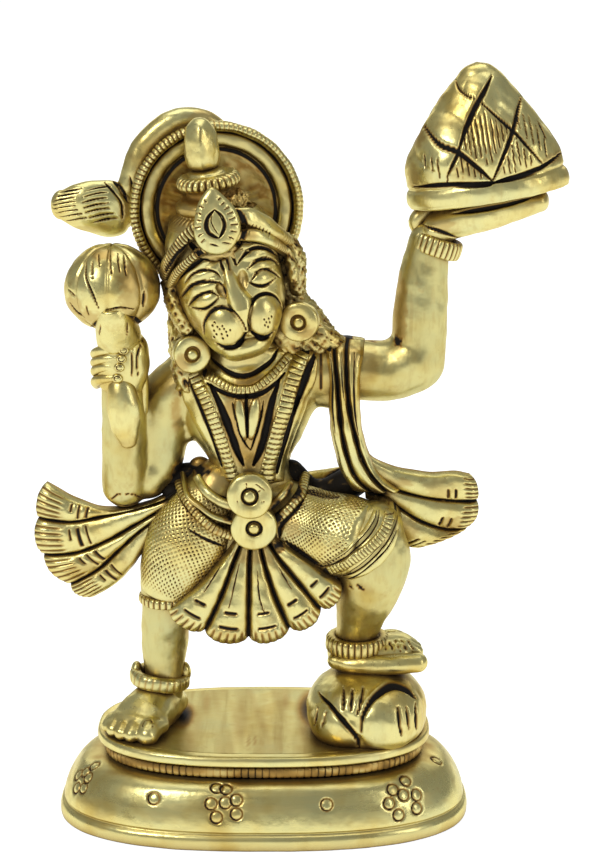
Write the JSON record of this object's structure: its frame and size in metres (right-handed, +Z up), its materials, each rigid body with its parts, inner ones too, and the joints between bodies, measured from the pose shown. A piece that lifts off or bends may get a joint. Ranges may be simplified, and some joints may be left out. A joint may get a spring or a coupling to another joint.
{
  "type": "hanuman figure",
  "caption": "Small cast-brass Hanuman in a striding pose, with a mace in one hand and a mountain lifted on the other, one foot on a boulder, cast in one with its oval plinth.",
  "frame": {"origin": "middle of the plinth's flat underside, on the surface that it stands on", "axes": "+X to the viewer's right, +Y away from the viewer towards the figure's back, +Z up"},
  "size_m": [0.0774, 0.038, 0.1116],
  "materials": {
    "antique_brass": "polished yellow brass on the high forms, with orange-brown tarnish in the hollows and black in the cut lines"
  },
  "bodies": {
    "root": {"hanuman_with_plinth": "antique_brass"}
  },
  "joints": []
}
